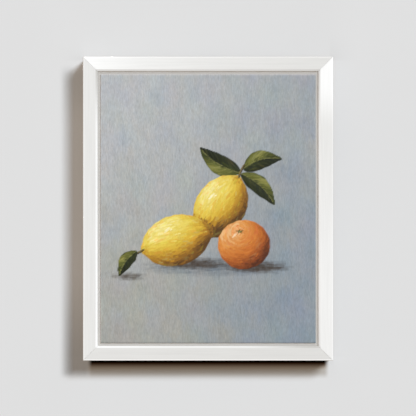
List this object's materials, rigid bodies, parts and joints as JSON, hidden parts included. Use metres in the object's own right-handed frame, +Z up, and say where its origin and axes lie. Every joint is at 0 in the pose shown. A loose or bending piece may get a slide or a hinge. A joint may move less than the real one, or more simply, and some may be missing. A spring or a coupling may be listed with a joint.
{
  "type": "framed oil painting",
  "caption": "Small oil painting on a linen-covered panel, float-mounted in a slim white lacquered wooden frame with a sawtooth hanger and wall bumpers behind.",
  "frame": {"origin": "where the wall's nail carries the middle notch of the sawtooth hanger, in the plane of the wall", "axes": "+X to the right and +Z up for someone facing the picture; -Y points out of the picture, and +Y into the wall"},
  "size_m": [0.236, 0.038, 0.2868],
  "materials": {
    "white_lacquer": "satin white lacquer on wood",
    "oil_paint": "oil paint on primed linen, satin",
    "panel_millboard": "dense grey-brown millboard",
    "mount_paper": "matt white mount board",
    "backing_hardboard": "bare hardboard",
    "nail_steel": "bare spring steel",
    "point_steel": "dull sheet steel",
    "plated_steel": "brass-plated steel",
    "bumper_rubber": "matt rubber"
  },
  "bodies": {
    "root": {"rail_top": "white_lacquer", "rail_right": "white_lacquer", "rail_bottom": "white_lacquer", "rail_left": "white_lacquer", "painted_linen": "oil_paint", "panel_core": "panel_millboard", "mount_board": "mount_paper", "backing_board": "backing_hardboard", "v_nail_top_left": "nail_steel", "v_nail_top_right": "nail_steel", "v_nail_bottom_left": "nail_steel", "v_nail_bottom_right": "nail_steel", "framer_point_top_1": "point_steel", "framer_point_top_2": "point_steel", "framer_point_right_1": "point_steel", "framer_point_right_2": "point_steel", "framer_point_right_3": "point_steel", "framer_point_bottom_1": "point_steel", "framer_point_bottom_2": "point_steel", "framer_point_left_1": "point_steel", "framer_point_left_2": "point_steel", "framer_point_left_3": "point_steel", "sawtooth_hanger": "plated_steel", "hanger_nail_left": "plated_steel", "hanger_nail_right": "plated_steel", "bumper_left": "bumper_rubber", "bumper_right": "bumper_rubber"}
  },
  "joints": []
}
